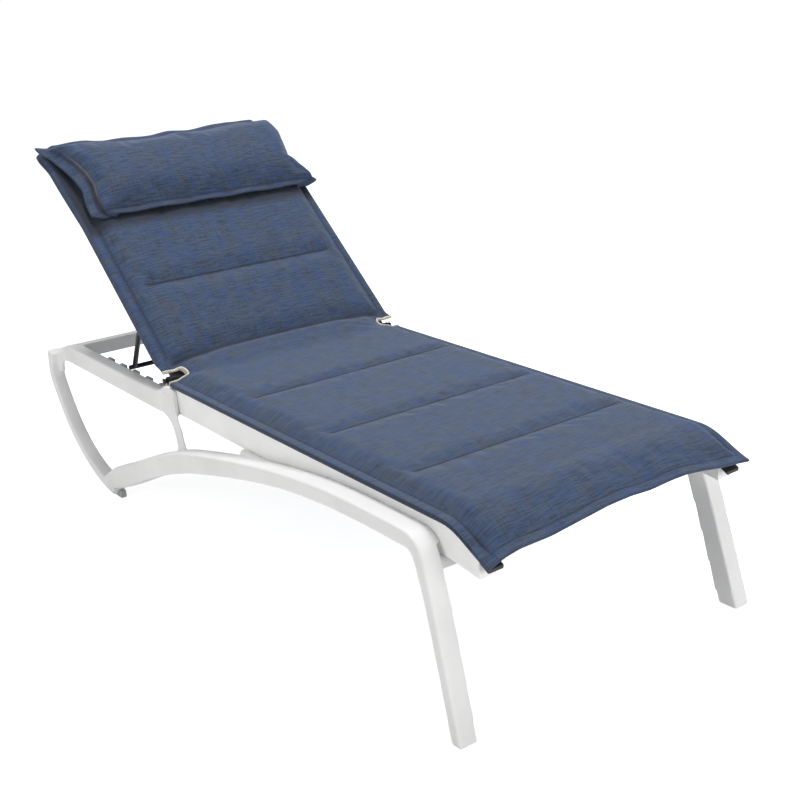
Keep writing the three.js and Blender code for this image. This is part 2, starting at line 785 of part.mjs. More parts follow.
addPair(lounge, 'prop_leg', propLeg(), blackMetal);
addPiece(lounge, 'prop_bar', rod([-propBarHalf, propBarY, propBarZ],
  [propBarHalf, propBarY, propBarZ], propBarRadius), blackMetal);
addPair(lounge, 'prop_tip', rod([propBarHalf + gap, propBarY, propBarZ],
  [propBarHalf + gap + propTipLength, propBarY, propBarZ], propBarRadius), blackPlastic);
addPair(back, 'prop_ear', propEar(), blackMetal);
addPair(back, 'prop_pin', propPin(), steel);

// Padded slings

// How far the padding stands over its flat edge, with a dip along each sewn channel
function padSwell(fromEdge, along, channels, crown) {
  const rim = eased(fromEdge / edgeFlange);
  const dips = channels.map((place) => Math.exp(-(((along - place) / channelWidth) ** 2)));
  const inside = eased((fromEdge - edgeFlange) / edgeFlange);
  return rim * (crown - channelDip * Math.max(...dips) * inside);
}

function spacedOut(places, longest) {
  const sorted = [...places].sort((a, b) => a - b);
  return sorted.flatMap((place, i) => {
    const room = i + 1 < sorted.length ? sorted[i + 1] - place : 0;
    const count = Math.max(1, Math.ceil(room / longest));
    return Array.from({ length: count }, (_, k) => place + room * k / count);
  });
}

// Places to slice a sling: close together at its edges and channels, wide apart between them
function slingCuts(from, to, channels, longest) {
  return spacedOut([
    ...rimShares.map((share) => from + share * edgeFlange),
    ...rimShares.map((share) => to - share * edgeFlange),
    ...channels.flatMap((place) => dipShares.map((share) => place + share * channelWidth)),
  ], longest);
}

function cutAt(cuts, share) {
  return cuts[Math.round(share * (cuts.length - 1))];
}

const acrossCuts = slingCuts(-slingHalfWidth, slingHalfWidth, [], longestStep);

function padded(alongCuts, place) {
  return shapedBox(acrossCuts.length - 1, alongCuts.length - 1, 1, (across, along, through) => (
    place(cutAt(acrossCuts, across), cutAt(alongCuts, along), through)));
}

const bendCuts = spacedOut([bendStart, pivotToFootTip - edgeFlange], bendStep);

function seatSling() {
  const cuts = [...new Set([
    ...slingCuts(seatSlingRear, pivotToFootTip, seatChannelPlaces, longestStep)
      .filter((down) => down < bendStart || down > pivotToFootTip - edgeFlange),
    ...bendCuts,
  ])].sort((a, b) => b - a);
  return padded(cuts, (x, down, through) => {
    const middle = 1 - (x / slingHalfWidth) ** 2;
    const bendReach = eased((down - bendStart) / (pivotToFootTip - bendStart));
    const y = -down + hemRise * middle * bendReach;
    const fall = seatRailTop - bentDown(-down, seatRailTop, bendDrop);
    const level = seatRailTop + slingLift - fall * (1 - hemLiftShare * middle);
    const edge = Math.min(slingHalfWidth - Math.abs(x), down - seatSlingRear, pivotToFootTip - down);
    const thick = slingEdge + padSwell(edge, down, seatChannelPlaces, seatCrown);
    return new THREE.Vector3(x, y, level + thick * through);
  });
}

function backSling() {
  const cuts = slingCuts(backSlingStart, backSlingEnd, backChannelPlaces, longestStep);
  return padded(cuts, (x, up, through) => {
    const edge = Math.min(slingHalfWidth - Math.abs(x), up - backSlingStart, backSlingEnd - up);
    const thick = slingEdge + padSwell(edge, up, backChannelPlaces, backCrown);
    return new THREE.Vector3(x, up, backRailHalf + slingLift + thick * through);
  });
}

// The pillow is a plump roll with a flat sewn flange all round
function headPillow() {
  return shapedBox(pillowSteps[0], pillowSteps[1], 1, (across, along, through) => {
    const half = pillowTopHalf + pillowFlare * (1 - along);
    const x = mixed(-half, half, across);
    const up = mixed(pillowLowAlong, pillowTopAlong, along);
    const edge = Math.min(up - pillowLowAlong, pillowTopAlong - up, half - Math.abs(x));
    const round = Math.sqrt(Math.max(0, 1 - (2 * along - 1) ** 2));
    const ends = 1 - (2 * across - 1) ** 6 / 3;
    const swell = eased((edge - pillowFlange) / pillowRise) * round * ends;
    const thick = pillowEdge + swell * pillowCrown;
    const arch = pillowArch * Math.sin(Math.PI * along) ** 2;
    return new THREE.Vector3(x, up, pillowLift + arch + thick * through);
  });
}

// The flap runs from under the pillow, over the top of the back and down behind it
function pillowFlap() {
  const front = pillowLift - gap;
  const rear = -backRailHalf - flapClear - flapThickness;
  const start = pillowTopAlong - flapLap;
  const inside = backSlingEnd + flapClear;
  const outside = inside + flapThickness;
  return platePoints([
    [start, front - flapThickness], [inside, front - flapThickness],
    [inside, rear + flapThickness], [inside - flapLength, rear + flapThickness],
    [inside - flapLength, rear], [outside, rear], [outside, front], [start, front],
  ], flapInset - pillowTopHalf, pillowTopHalf - flapInset);
}

// A cream strip along the lower edge of the back at each notch, hooked at its inner end
function notchTrim() {
  const outline = new THREE.Shape(
    trimShares.map(([x, up]) => new THREE.Vector2(x * trimOutlineSize, up * trimOutlineSize)));
  const trim = new THREE.ExtrudeGeometry(outline, { depth: trimHeight, bevelEnabled: false });
  trim.translate(0, 0, trimLow);
  return trim;
}

addPiece(lounge, 'seat_sling', seatSling(), slate);
addPiece(back, 'back_sling', backSling(), slate);
addPiece(back, 'head_pillow', headPillow(), slate);
addPiece(back, 'pillow_flap', pillowFlap(), slate);
addPair(back, 'notch_trim', notchTrim(), cream);

export default lounge;
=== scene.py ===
import math

import bmesh
import bpy
from mathutils import Matrix, Vector


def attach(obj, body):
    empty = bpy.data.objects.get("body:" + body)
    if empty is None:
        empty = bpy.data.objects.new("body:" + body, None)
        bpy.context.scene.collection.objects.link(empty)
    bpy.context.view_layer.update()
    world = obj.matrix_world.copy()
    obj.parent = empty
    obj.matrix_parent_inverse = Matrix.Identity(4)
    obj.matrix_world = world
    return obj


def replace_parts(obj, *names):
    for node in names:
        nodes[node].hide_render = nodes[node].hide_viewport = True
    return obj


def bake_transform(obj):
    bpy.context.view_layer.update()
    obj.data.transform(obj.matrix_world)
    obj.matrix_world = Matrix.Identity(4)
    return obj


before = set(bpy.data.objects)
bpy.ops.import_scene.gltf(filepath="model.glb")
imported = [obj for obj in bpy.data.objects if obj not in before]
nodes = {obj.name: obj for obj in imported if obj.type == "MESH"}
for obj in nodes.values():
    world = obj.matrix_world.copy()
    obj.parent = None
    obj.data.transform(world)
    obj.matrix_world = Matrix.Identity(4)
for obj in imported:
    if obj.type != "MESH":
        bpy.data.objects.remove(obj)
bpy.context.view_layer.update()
scene = bpy.context.scene

hinge = {"y": 0.269, "z": 0.392, "angle": math.radians(40.35)}


# Helpers

def mixed(a, b, share):
    return a + (b - a) * share


def eased(share):
    held = min(1.0, max(0.0, share))
    return held * held * (3 - 2 * held)


def bell(distance, width):
    return math.exp(-(distance / width) ** 2)


def along(table, place):
    # straight steps through a table of (place, value) pairs
    for (a, first), (b, second) in zip(table, table[1:]):
        if place <= b:
            return mixed(first, second, max(0.0, (place - a) / (b - a)))
    return table[-1][1]


def spaced(start, end, step):
    count = max(1, round((end - start) / step))
    return [mixed(start, end, i / count) for i in range(count + 1)]


def spacedThrough(places, step):
    out = [places[0]]
    for start, end in zip(places, places[1:]):
        out += spaced(start, end, step)[1:]
    return out


def newPiece(name, bm, smooth=True):
    mesh = bpy.data.meshes.new(name)
    bm.to_mesh(mesh)
    bm.free()
    for face in mesh.polygons:
        face.use_smooth = smooth
    piece = bpy.data.objects.new(name, mesh)
    scene.collection.objects.link(piece)
    return piece


def settle(piece):
    # keeps what the modifiers make and drops the modifiers
    graph = bpy.context.evaluated_depsgraph_get()
    graph.update()
    done = bpy.data.meshes.new_from_object(piece.evaluated_get(graph))
    piece.modifiers.clear()
    old = piece.data
    piece.data = done
    bpy.data.meshes.remove(old)
    for face in piece.data.polygons:
        face.use_smooth = True


def dressed(piece, material):
    piece.data.materials.clear()
    piece.data.materials.append(material)
    return piece


# Materials

def tone(red, green, blue):
    # screen colour, 0 to 255, as the linear colour that shaders read
    parts = [c / 255 for c in (red, green, blue)]
    return tuple(c / 12.92 if c <= 0.04045 else ((c + 0.055) / 1.055) ** 2.4 for c in parts) + (1,)


class Paint:
    # a socket that numbers and other sockets can be reckoned with
    def __init__(self, home, socket):
        self.home = home
        self.socket = socket

    def maths(self, operation, *others):
        values = {0: self, **{i + 1: other for i, other in enumerate(others)}}
        return self.home.node("ShaderNodeMath", {"operation": operation}, values)

    def __add__(self, other):
        return self.maths("ADD", other)

    def __sub__(self, other):
        return self.maths("SUBTRACT", other)

    def __rsub__(self, other):
        return self.home.node("ShaderNodeMath", {"operation": "SUBTRACT"}, {0: other, 1: self})

    def __mul__(self, other):
        return self.maths("MULTIPLY", other)

    def __truediv__(self, other):
        return self.maths("DIVIDE", other)

    __radd__ = __add__
    __rmul__ = __mul__

    def size(self):
        return self.maths("ABSOLUTE")

    def below(self, limit):
        return self.maths("LESS_THAN", limit)

    def above(self, limit):
        return self.maths("GREATER_THAN", limit)

    def least(self, other):
        return self.maths("MINIMUM", other)

    def most(self, other):
        return self.maths("MAXIMUM", other)

    def wave(self):
        return self.maths("SINE")

    def between(self, low, high, start=0.0, end=1.0):
        return self.home.node(
            "ShaderNodeMapRange", {"interpolation_type": "SMOOTHSTEP"},
            {"Value": self, "From Min": low, "From Max": high, "To Min": start, "To Max": end})


class NodeTree:
    def __init__(self, tree):
        self.tree = tree

    def node(self, kind, settings=None, values=None, out=0):
        made = self.tree.nodes.new(kind)
        for key, value in (settings or {}).items():
            setattr(made, key, value)
        for key, value in (values or {}).items():
            self.put(made.inputs[key], value)
        return Paint(self, made.outputs[out])

    def put(self, socket, value):
        if isinstance(value, Paint):
            self.tree.links.new(value.socket, socket)
        else:
            socket.default_value = value

    def seenRays(self):
        # 1 for what the camera sees, also in a mirror or through glass, and 0 for light on the lounge
        ports = self.node("ShaderNodeLightPath").socket.node.outputs
        seen = Paint(self, ports["Is Camera Ray"]).most(Paint(self, ports["Is Glossy Ray"]))
        return seen.most(Paint(self, ports["Is Transmission Ray"]))


class Finish(NodeTree):
    def __init__(self, name, **constants):
        self.material = bpy.data.materials.new(name)
        self.material.use_nodes = True
        super().__init__(self.material.node_tree)
        self.shader = self.tree.nodes["Principled BSDF"]
        for key, value in constants.items():
            self.shader.inputs[key.replace("_", " ")].default_value = value

    def feed(self, name, value):
        self.put(self.shader.inputs[name], value)

    def coloured(self, share, first, second):
        # sockets 6, 7 and 2 are the Mix node's colours
        return self.node("ShaderNodeMix", {"data_type": "RGBA"}, {0: share, 6: first, 7: second}, 2)

    def grain(self, where, scale, detail=2.0, rough=0.5):
        return self.node("ShaderNodeTexNoise", {"noise_dimensions": "3D"},
                         {"Vector": where, "Scale": scale, "Detail": detail, "Roughness": rough})

    def stretched(self, where, x, y, z):
        return self.node("ShaderNodeVectorMath", {"operation": "MULTIPLY"}, {0: where, 1: (x, y, z)})

    def bumps(self, height, distance, strength=1.0):
        self.feed("Normal", self.node("ShaderNodeBump", {}, {
            "Height": height, "Distance": distance, "Strength": strength}))

    def objectPlace(self):
        return self.node("ShaderNodeTexCoord", out="Object")

    def mapPlace(self, uvMap):
        return self.node("ShaderNodeUVMap", {"uv_map": uvMap})

    def mapParts(self, uvMap):
        split = self.node("ShaderNodeSeparateXYZ", {}, {0: self.mapPlace(uvMap)})
        return split, Paint(self, split.socket.node.outputs["Y"])


def grainedFinish(name, look):
    # moulded plastic or powder coat: a fine even grain with faint rubbed patches
    finish = Finish(name, Metallic=look["metallic"], Specular_IOR_Level=look.get("shine", 0.5))
    where = finish.objectPlace()
    patches = finish.grain(where, look["patchScale"], 3.0).between(0.35, 0.7)
    grain = finish.grain(where, look["grainScale"], 2.0)
    finish.feed("Base Color", finish.coloured(patches, look["colour"], look["worn"]))
    finish.feed("Roughness", patches * look["roughSpread"] + look["roughness"])
    finish.bumps(grain, look["grainHeight"], 0.6)
    return finish.material


whiteMould = grainedFinish("whiteMould", {
    "colour": tone(243, 243, 242), "worn": tone(238, 238, 237), "metallic": 0.0,
    "roughness": 0.5, "roughSpread": 0.12, "patchScale": 9.0, "grainScale": 900.0,
    "grainHeight": 0.0002})
# the white coat made darker for the crossbar and cross tube: painted shade
shadedWhiteCoat = grainedFinish("shadedWhiteCoat", {
    "colour": tone(226, 226, 225), "worn": tone(220, 220, 219), "metallic": 0.0,
    "roughness": 0.42, "roughSpread": 0.12, "patchScale": 12.0, "grainScale": 1400.0,
    "grainHeight": 0.0001})
# the same white coat made brighter for the seat rails: painted light
litWhiteRail = grainedFinish("litWhiteRail", {
    "colour": tone(254, 254, 253), "worn": tone(250, 250, 249), "metallic": 0.0,
    "roughness": 0.42, "roughSpread": 0.12, "patchScale": 12.0, "grainScale": 1400.0,
    "grainHeight": 0.0001})
greyPlastic = grainedFinish("greyPlastic", {
    "colour": tone(188, 189, 191), "worn": tone(172, 173, 175), "metallic": 0.0,
    "roughness": 0.5, "roughSpread": 0.15, "patchScale": 30.0, "grainScale": 1200.0,
    "grainHeight": 0.0001})
blackCoat = grainedFinish("blackCoat", {
    "colour": tone(24, 26, 34), "worn": tone(34, 37, 46), "metallic": 0.0, "shine": 0.15,
    "roughness": 0.38, "roughSpread": 0.15, "patchScale": 25.0, "grainScale": 1500.0,
    "grainHeight": 0.0001})
blackPlastic = grainedFinish("blackPlastic", {
    "colour": tone(18, 18, 20), "worn": tone(27, 27, 30), "metallic": 0.0,
    "roughness": 0.5, "roughSpread": 0.12, "patchScale": 40.0, "grainScale": 1500.0,
    "grainHeight": 0.0001})
creamTrim = grainedFinish("creamTrim", {
    "colour": tone(214, 208, 194), "worn": tone(200, 193, 178), "metallic": 0.0,
    "roughness": 0.55, "roughSpread": 0.15, "patchScale": 60.0, "grainScale": 1500.0,
    "grainHeight": 0.0001})


def screwSteel():
    finish = Finish("screwSteel", Metallic=1.0)
    where = finish.objectPlace()
    turned = finish.grain(finish.stretched(where, 900.0, 60.0, 60.0), 1.0, 2.0)
    finish.feed("Base Color", finish.coloured(turned, tone(176, 178, 182), tone(205, 207, 210)))
    finish.feed("Roughness", turned * 0.2 + 0.25)
    return finish.material


steel = screwSteel()


# A heathered sling weave on the "weave" map: u across the lounge, v along it, in metres
weaveLook = {
    "blue": tone(48, 71, 111), "grey": tone(67, 79, 95), "dark": tone(28, 38, 61),
    # seam is the dark colour that stitch lines and painted shade mix towards
    "seam": tone(17, 24, 40), "thread": tone(128, 112, 102),
    "sheen": 0.24, "sheenRough": 0.4, "sheenTint": (0.72, 0.84, 1.0, 1.0),
    "rib": 0.0042, "threadAcross": 0.0021, "threadAlong": 0.0023,
    "relief": 0.0007, "reliefStrength": 0.8, "roughness": 0.78, "roughSpread": 0.12,
}
# how often each grain repeats in a metre across and along, with its detail and roughness
weaveGrains = {
    "streaks": ((20.0, 230.0, 1.0), 3.0, 0.6), "lines": ((26.0, 270.0, 7.0), 2.0, 0.6),
    "clouds": ((9.0, 22.0, 1.0), 3.0, 0.6), "columns": ((34.0, 5.0, 3.0), 2.0, 0.5),
    "warp": ((210.0, 22.0, 1.0), 2.0, 0.5),
}


def slingWeave(name, seamsAndShade):
    look = weaveLook
    finish = Finish(name, Sheen_Weight=look["sheen"], Sheen_Roughness=look["sheenRough"],
                    Sheen_Tint=look["sheenTint"])
    where = finish.mapPlace("weave")
    u, v = finish.mapParts("weave")
    streaks, lines, clouds, columns, warp = (
        finish.grain(finish.stretched(where, *stretch), 1.0, detail, rough)
        for stretch, detail, rough in weaveGrains.values())
    heather = (streaks * 0.6 + clouds * 0.2 + columns * 0.2).between(0.42, 0.58)
    dark = warp.between(0.5, 0.7) * 0.26 + lines.between(0.46, 0.62) * 0.5
    dark = dark + columns.between(0.45, 0.65) * 0.12
    shade, ridge, thread = seamsAndShade(finish, u, v, streaks)
    cloth = finish.coloured(heather, look["blue"], look["grey"])
    cloth = finish.coloured(dark, cloth, look["dark"])
    # darkens toward the seam colour where the seams and the painted shade fall
    cloth = finish.coloured(shade, cloth, look["seam"])
    if thread:
        cloth = finish.coloured(thread, cloth, look["thread"])
    finish.feed("Base Color", cloth)
    finish.feed("Roughness", streaks * look["roughSpread"] + look["roughness"])
    ribs = (v * (2 * math.pi / look["rib"]) + clouds * 5.0).wave() * 0.5 + 0.5
    threads = ((u * (2 * math.pi / look["threadAcross"])).wave()
               * (v * (2 * math.pi / look["threadAlong"])).wave())
    height = ribs * 0.3 + threads * 0.12 + lines * 0.8 + ridge * 1.8
    finish.bumps(height, look["relief"], look["reliefStrength"])
    return finish


def lineAt(distance, width):
    return 1 - (distance / width).least(1.0)


# Camera

cameraData = bpy.data.cameras.new("camera")
cameraData.sensor_width = 36.0
cameraData.lens = 55.2812
camera = bpy.data.objects.new("camera", cameraData)
scene.collection.objects.link(camera)
scene.camera = camera
aim = {"yaw": 0.6275446, "pitch": 0.3378424, "roll": -0.0516093,
       "place": (-1.52346, -2.32424, 1.29692)}


def cameraMatrix(look):
    yaw, pitch, roll = look["yaw"], look["pitch"], look["roll"]
    forward = Vector((math.sin(yaw) * math.cos(pitch), math.cos(yaw) * math.cos(pitch),
                      -math.sin(pitch)))
    level = Vector((math.cos(yaw), -math.sin(yaw), 0.0))
    up = level.cross(forward)
    right = level * math.cos(roll) + up * math.sin(roll)
    over = up * math.cos(roll) - level * math.sin(roll)
    turn = Matrix((right, over, -forward)).transposed().to_4x4()
    return Matrix.Translation(Vector(look["place"])) @ turn


camera.matrix_world = cameraMatrix(aim)
cameraData.clip_end = 60.0
print("camera placed")


# Light and background

scene.view_settings.view_transform = "Standard"
world = bpy.data.worlds.new("studio")
scene.world = world
world.use_nodes = True
backdrop = {"ambient": 0.32, "seen": 1.0, "floorGlow": 0.74, "floorTone": (0.82, 0.82, 0.82, 1),
            "floorHalf": 30.0}
lamps = {
    "keyLamp": {"place": (0.6, 0.9, 5.2), "target": (0.0, 0.0, 0.3), "size": 2.4, "power": 168.0},
    "frontLamp": {"place": (0.2, -5.0, 1.6), "target": (0.0, -0.3, 0.3), "size": 2.4, "power": 76.0},
    "leftLamp": {"place": (-4.5, -0.5, 2.0), "target": (0.0, 0.0, 0.3), "size": 2.4, "power": 42.0},
}
white = (1, 1, 1, 1)


def studioWorld(sky):
    dim = sky.tree.nodes["Background"]
    sky.put(dim.inputs["Color"], white)
    sky.put(dim.inputs["Strength"], backdrop["ambient"])
    bright = sky.node("ShaderNodeBackground", {}, {"Color": white, "Strength": backdrop["seen"]})
    both = sky.node("ShaderNodeMixShader", {}, {
        0: sky.seenRays(), 1: Paint(sky, dim.outputs[0]), 2: bright})
    sky.put(sky.tree.nodes["World Output"].inputs["Surface"], both)


def hangLamp(name, look):
    data = bpy.data.lights.new(name, "AREA")
    data.shape = "DISK"
    data.size = look["size"]
    data.energy = look["power"]
    place = Vector(look["place"])
    made = bpy.data.objects.new(name, data)
    made.location = place
    made.rotation_mode = "QUATERNION"
    made.rotation_quaternion = (Vector(look["target"]) - place).to_track_quat("-Z", "Y")
    scene.collection.objects.link(made)


def floorFinish():
    finish = Finish("whiteFloor", Roughness=0.85, Base_Color=backdrop["floorTone"])
    glow = finish.node("ShaderNodeEmission", {}, {
        "Color": white, "Strength": finish.seenRays() * backdrop["floorGlow"]})
    both = finish.node("ShaderNodeAddShader", {}, {
        0: Paint(finish, finish.shader.outputs[0]), 1: glow})
    finish.put(finish.tree.nodes["Material Output"].inputs["Surface"], both)
    return finish.material


studioWorld(NodeTree(world.node_tree))
for name, look in lamps.items():
    hangLamp(name, look)
floorMesh = bmesh.new()
bmesh.ops.create_grid(floorMesh, x_segments=1, y_segments=1, size=backdrop["floorHalf"])
floor = dressed(newPiece("studioFloor", floorMesh, False), floorFinish())
print("studio lit")


# Padded sling: one quilted length of cloth from the foot hem up to the top of the back

sling = {
    # widths of the cloth and of the rails below it
    "half": 0.337, "railOut": 0.3292, "railIn": 0.270, "railEase": 0.02, "railGap": 0.0004,
    # the underside in side view: seat, fold, and the drop over the bent rails at the foot
    "seatUnder": -0.0083, "backUnder": 0.0096, "backEnd": 0.742,
    "sideFold": 0.035, "middleFold": 0.170,
    "footEnd": -1.184, "levelTo": -1.062, "dropReach": 0.140, "drop": 0.046,
    "bendStart": -1.045, "bendReach": 0.105, "bendDrop": 0.037, "bendPower": 1.5,
    "bendEnd": -1.165, "bendFade": 0.03, "hemReach": 0.16, "farReach": 0.007, "farLift": 0.003,
    # the padding
    "footEdge": 0.0070, "seatEdge": 0.0112, "backEdge": 0.0075, "flange": 0.029,
    "seatFlange": 0.021, "rise": 0.040, "riseStart": 0.006, "footReach": 0.18,
    "footCrown": 0.0150, "seatCrown": 0.0160, "backCrown": 0.0135,
    # sewn channels and seams, and the crease where the back bends
    "seatChannels": (-0.887, -0.607, -0.303), "backChannels": (0.266, 0.515),
    "dip": 0.0055, "dipWidth": 0.011, "backDip": 0.0090, "backDipWidth": 0.015,
    "channelStop": 0.066, "seamDip": 0.0020, "seamWidth": 0.0050,
    "backSeamDip": 0.0045, "backSeamWidth": 0.0075,
    "crease": 0.0130, "creaseWidth": 0.015, "creaseLow": 0.0325, "creaseRise": 0.0130,
    "creaseSpan": 0.3, "creaseStop": 0.022, "fade": 0.03,
    "pucker": 0.0045, "puckerWidth": 0.007, "puckerIn": 0.002, "puckerLow": 0.026,
    "puckerHigh": 0.13,
    # the notches, and the sleeve round the back rails above them
    "notchHalf": 0.0205, "notchDepth": 0.0560, "notchAt": -0.005, "notchPress": 0.7,
    "notchPressWidth": 0.035,
    "wrapStart": 0.014, "wrapReach": 0.045, "wrapFrom": 0.3215, "wrapRadius": 0.006,
    "wrapDown": 0.0125,
    "cornerReach": 0.016, "cornerUp": 0.62, "cornerLong": 0.11, "cornerIn": 0.24,
    "cornerWide": 0.09,
    # the grid, and what of it the cloth simulation holds still
    "cell": 0.0098, "sewnNear": 0.3, "creaseNear": 0.6, "notchHeld": 0.038, "notchHeldIn": 0.02,
    "fill": {"stiffness": 12.0, "bending": 0.8, "shrink": -0.012, "pressure": 2.0, "steps": 18,
             "cap": 0.004},
    # seams and painted shade in the cloth's colour, and relief: widths of the lines, and how dark
    # each one is
    "marks": {
        "cutEdge": 0.0016, "cutFrom": 0.05, "cutShade": 0.55, "hem": 0.0022, "hemShade": 0.2,
        "sleeveIn": 0.0012, "sleeveOut": 0.0078, "sleeveShade": 0.5,
        "row": 0.0034, "rowMore": 0.0042, "rowShade": 0.15, "rowMoreShade": 0.25,
        "uneven": 0.3, "unevenFrom": 0.35, "unevenTo": 0.65,
        "corner": 0.007, "cornerShade": 0.8, "cornerLow": (0.026, 0.050),
        "cornerHigh": (0.03, 0.12),
        "gathers": (9.0, 75.0, 3.0), "gatherIn": 0.012, "gatherReach": 0.030, "gatherRise": 3.2,
        "gatherShade": 1.3,
        "channel": 0.0054, "backChannel": 0.0060, "channelRise": 1.4, "channelFade": 0.012,
        "fold": 0.0100, "foldFrom": 0.022, "foldTo": 0.045,
        # painted shadow of the pillow: where it starts and ends up the back, and in from the sides
        "pillowFrom": 0.436, "pillowTo": 0.474, "pillowIn": 0.011, "pillowInTo": 0.017,
    },
}
# how far the foot hem waves up, across the lounge
hemLifts = ((-0.337, -0.002), (-0.297, 0.011), (-0.263, 0.016), (-0.193, 0.016), (-0.12, 0.023),
            (-0.05, 0.030), (0.006, 0.031), (0.059, 0.027), (0.11, 0.029), (0.155, 0.028),
            (0.213, 0.019), (0.252, 0.011), (0.288, 0.007), (0.337, 0.0))
# how far the sleeves flare outwards, up the back
flares = ((0.50, 0.0), (0.56, 0.004), (0.625, 0.008), (0.686, 0.011), (0.72, 0.022), (0.77, 0.022))


def footDrop(y):
    return sling["drop"] * eased((sling["levelTo"] - y) / sling["dropReach"])


def footCurve():
    # underside in side view from the foot hem to where the seat runs level, each millimetre
    points, lengths = [], [0.0]
    y = sling["footEnd"]
    while y < sling["levelTo"]:
        points.append((y, sling["seatUnder"] - footDrop(y)))
        y += 0.001
    points.append((sling["levelTo"], sling["seatUnder"]))
    for (y0, z0), (y1, z1) in zip(points, points[1:]):
        lengths.append(lengths[-1] + math.hypot(y1 - y0, z1 - z0))
    return points, lengths


# Along the cloth, places are lengths from the foot hem, as if the fold under the back were sharp
footPoints, footLengths = footCurve()
sine, cosine = math.sin(hinge["angle"]), math.cos(hinge["angle"])
foldY = (sling["seatUnder"] - sling["backUnder"] / cosine) * cosine / sine
foldPlace = footLengths[-1] + foldY - sling["levelTo"]
backStart = foldPlace - foldY * cosine - sling["seatUnder"] * sine
slingLength = backStart + sling["backEnd"]


def lengthAtSeat(y):
    if y > sling["levelTo"]:
        return footLengths[-1] + y - sling["levelTo"]
    return next(v for (py, _), v in zip(footPoints, footLengths) if py >= y)


def lengthAtBack(up):
    return backStart + up


def pathAt(v, radius):
    # place on the underside in side view, and its slope angle
    past = v - foldPlace
    tangent = radius * math.tan(hinge["angle"] / 2)
    if past >= tangent:
        return foldY + past * cosine, sling["seatUnder"] + past * sine, hinge["angle"]
    if past > -tangent:
        turn = hinge["angle"] * (past + tangent) / (2 * tangent)
        return (foldY - tangent + radius * math.sin(turn),
                sling["seatUnder"] + radius * (1 - math.cos(turn)), turn)
    if v >= footLengths[-1]:
        return foldY + past, sling["seatUnder"], 0.0
    i = max(1, next(i for i, length in enumerate(footLengths) if length >= max(v, 0.0)))
    (y0, z0), (y1, z1) = footPoints[i - 1], footPoints[i]
    share = (v - footLengths[i - 1]) / (footLengths[i] - footLengths[i - 1])
    return mixed(y0, y1, share), mixed(z0, z1, share), math.atan2(z1 - z0, y1 - y0)


def wrapped(u, v, height):
    # up the back, the side flange bends down round the rail like a sleeve
    up = v - backStart
    weight = eased((up - sling["wrapStart"]) / sling["wrapReach"])
    flat = sling["half"] - sling["flange"]
    if abs(u) <= flat or weight == 0:
        return u, height
    radius = sling["wrapRadius"] + height
    straight, turned = sling["wrapFrom"] - flat, radius * math.pi / 2
    reach = (abs(u) - flat) / sling["flange"] * (straight + turned + sling["wrapDown"])
    if reach < straight:
        x, out = flat + reach, height
    elif reach < straight + turned:
        turn = (reach - straight) / radius
        x = sling["wrapFrom"] + radius * math.sin(turn)
        out = radius * math.cos(turn) - sling["wrapRadius"]
    else:
        x, out = sling["wrapFrom"] + radius, straight + turned - reach - sling["wrapRadius"]
    x += along(flares, up) * (abs(u) - flat) / sling["flange"]
    return math.copysign(mixed(abs(u), x, weight), u), mixed(height, out, weight)


def slingPlace(u, v, height):
    # from the flat cloth to its place on the lounge
    x, height = wrapped(u, v, height)
    middle = 1 - min(1.0, abs(u) / sling["half"]) ** 4
    atTop = eased((v - backStart - sling["cornerUp"]) / sling["cornerLong"])
    atTop *= eased((abs(u) - sling["cornerIn"]) / sling["cornerWide"])
    v += sling["cornerReach"] * atTop
    y, z, slope = pathAt(v, mixed(sling["sideFold"], sling["middleFold"], middle))
    foot = eased(1 - v / sling["hemReach"])
    far = eased(u / sling["half"])
    y -= math.sin(slope) * height
    z += (along(hemLifts, u) + sling["farLift"] * far) * foot + math.cos(slope) * height
    return Vector((x + sling["farReach"] * far, hinge["y"] + y, hinge["z"] + z))


channelPlaces = [lengthAtSeat(y) for y in sling["seatChannels"]]
channelPlaces += [lengthAtBack(s) for s in sling["backChannels"]]
notchPlace = lengthAtBack(sling["notchAt"])
notchInner = sling["half"] - sling["notchDepth"]


def creasePlace(u):
    bow = 1 - abs(u / sling["creaseSpan"]) ** 3
    return lengthAtBack(sling["creaseLow"]) + sling["creaseRise"] * bow


def slingEdge(u, v):
    return min(sling["half"] - abs(u), v, slingLength - v)


def slingHeight(u, v):
    # how far the upper cloth stands over the lower one
    side = sling["half"] - abs(u)
    edgeAway = slingEdge(u, v)
    onBack = eased((v - notchPlace + 0.02) / 0.05)
    offFoot = eased(v / sling["footReach"])
    flange = mixed(sling["seatFlange"], sling["flange"], onBack)
    edge = mixed(mixed(sling["footEdge"], sling["seatEdge"], offFoot), sling["backEdge"], onBack)
    crown = mixed(mixed(sling["footCrown"], sling["seatCrown"], offFoot), sling["backCrown"],
                  onBack)
    rim = eased((edgeAway - flange + sling["riseStart"]) / sling["rise"])

    width = mixed(sling["dipWidth"], sling["backDipWidth"], onBack)
    dip = max(bell(v - place, width) for place in channelPlaces)
    dip *= mixed(sling["dip"], sling["backDip"], onBack)
    dip *= eased((side - sling["channelStop"] + 0.01) / sling["fade"])
    crease = sling["crease"] * bell(v - creasePlace(u), sling["creaseWidth"])
    crease *= eased((side - sling["creaseStop"]) / sling["fade"])
    seam = bell(edgeAway - flange, mixed(sling["seamWidth"], sling["backSeamWidth"], onBack))
    seam *= mixed(sling["seamDip"], sling["backSeamDip"], onBack)
    corner = sling["pucker"] * bell(side - flange - sling["puckerIn"], sling["puckerWidth"])
    corner *= 1 - eased(v / sling["puckerHigh"])
    corner *= eased((v - sling["puckerLow"]) / sling["fade"])
    pressed = bell(v - notchPlace, sling["notchPressWidth"])
    pressed *= eased((abs(u) - notchInner + sling["fade"]) / sling["fade"])
    return (edge + rim * crown * (1 - sling["notchPress"] * pressed) - dip * rim - crease - seam
            - corner)


